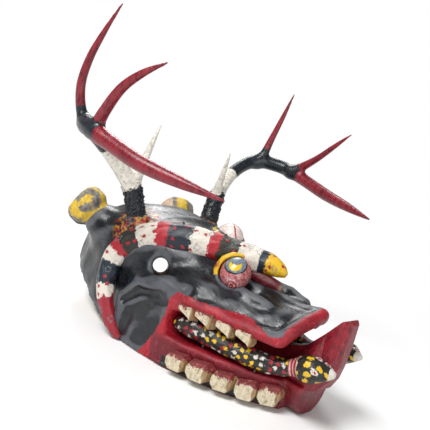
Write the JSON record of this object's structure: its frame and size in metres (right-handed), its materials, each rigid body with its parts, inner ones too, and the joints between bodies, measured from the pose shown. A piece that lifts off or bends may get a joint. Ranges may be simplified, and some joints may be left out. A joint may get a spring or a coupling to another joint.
{
  "type": "carved animal mask",
  "caption": "Carved and painted wooden animal mask with an open toothed mouth, real forked antlers, carved snakes and a raised tongue, worn over the face.",
  "frame": {"origin": "on the plane of the back rim, below the middle of the whole mask", "axes": "+Z out of the face, away from the wearer; +Y towards the crown, -Y towards the chin; -X to the wearer's right"},
  "size_m": [0.348, 0.3558, 0.3204],
  "materials": {
    "head_paint": "carved softwood under black oil enamel, red round the mouth, bare and waxed inside",
    "antler_paint": "deer antler painted navy black, white and red with brushed enamel",
    "ear_paint": "carved wood, worn grey with flaking yellow enamel",
    "eye_paint": "turned wooden ball, grey, white, red and yellow enamel under varnish",
    "snake_paint": "carved wood, banded in black, white and red enamel",
    "mouth_snake_paint": "carved wood, black enamel with yellow, white and red dabs",
    "tongue_paint": "knife-cut wood under dark red enamel",
    "tooth_paint": "knife-cut wood under chalky cream paint, bare on the cut sides",
    "peg_wood": "bare whittled wood",
    "nail_steel": "dull drawn wire"
  },
  "bodies": {
    "root": {"head_shell": "head_paint", "right_antler": "antler_paint", "left_antler": "antler_paint", "right_ear": "ear_paint", "left_ear": "ear_paint", "right_eyeball": "eye_paint", "left_eyeball": "eye_paint", "brow_snake": "snake_paint", "right_mouth_snake": "mouth_snake_paint", "left_mouth_snake": "mouth_snake_paint", "tongue": "tongue_paint", "right_upper_teeth": "tooth_paint", "left_upper_teeth": "tooth_paint", "right_lower_teeth": "tooth_paint", "left_lower_teeth": "tooth_paint", "antler_pegs": "peg_wood", "ear_pegs": "peg_wood", "tongue_pegs": "peg_wood", "brow_snake_nails": "nail_steel", "mouth_snake_nails": "nail_steel"}
  },
  "joints": []
}
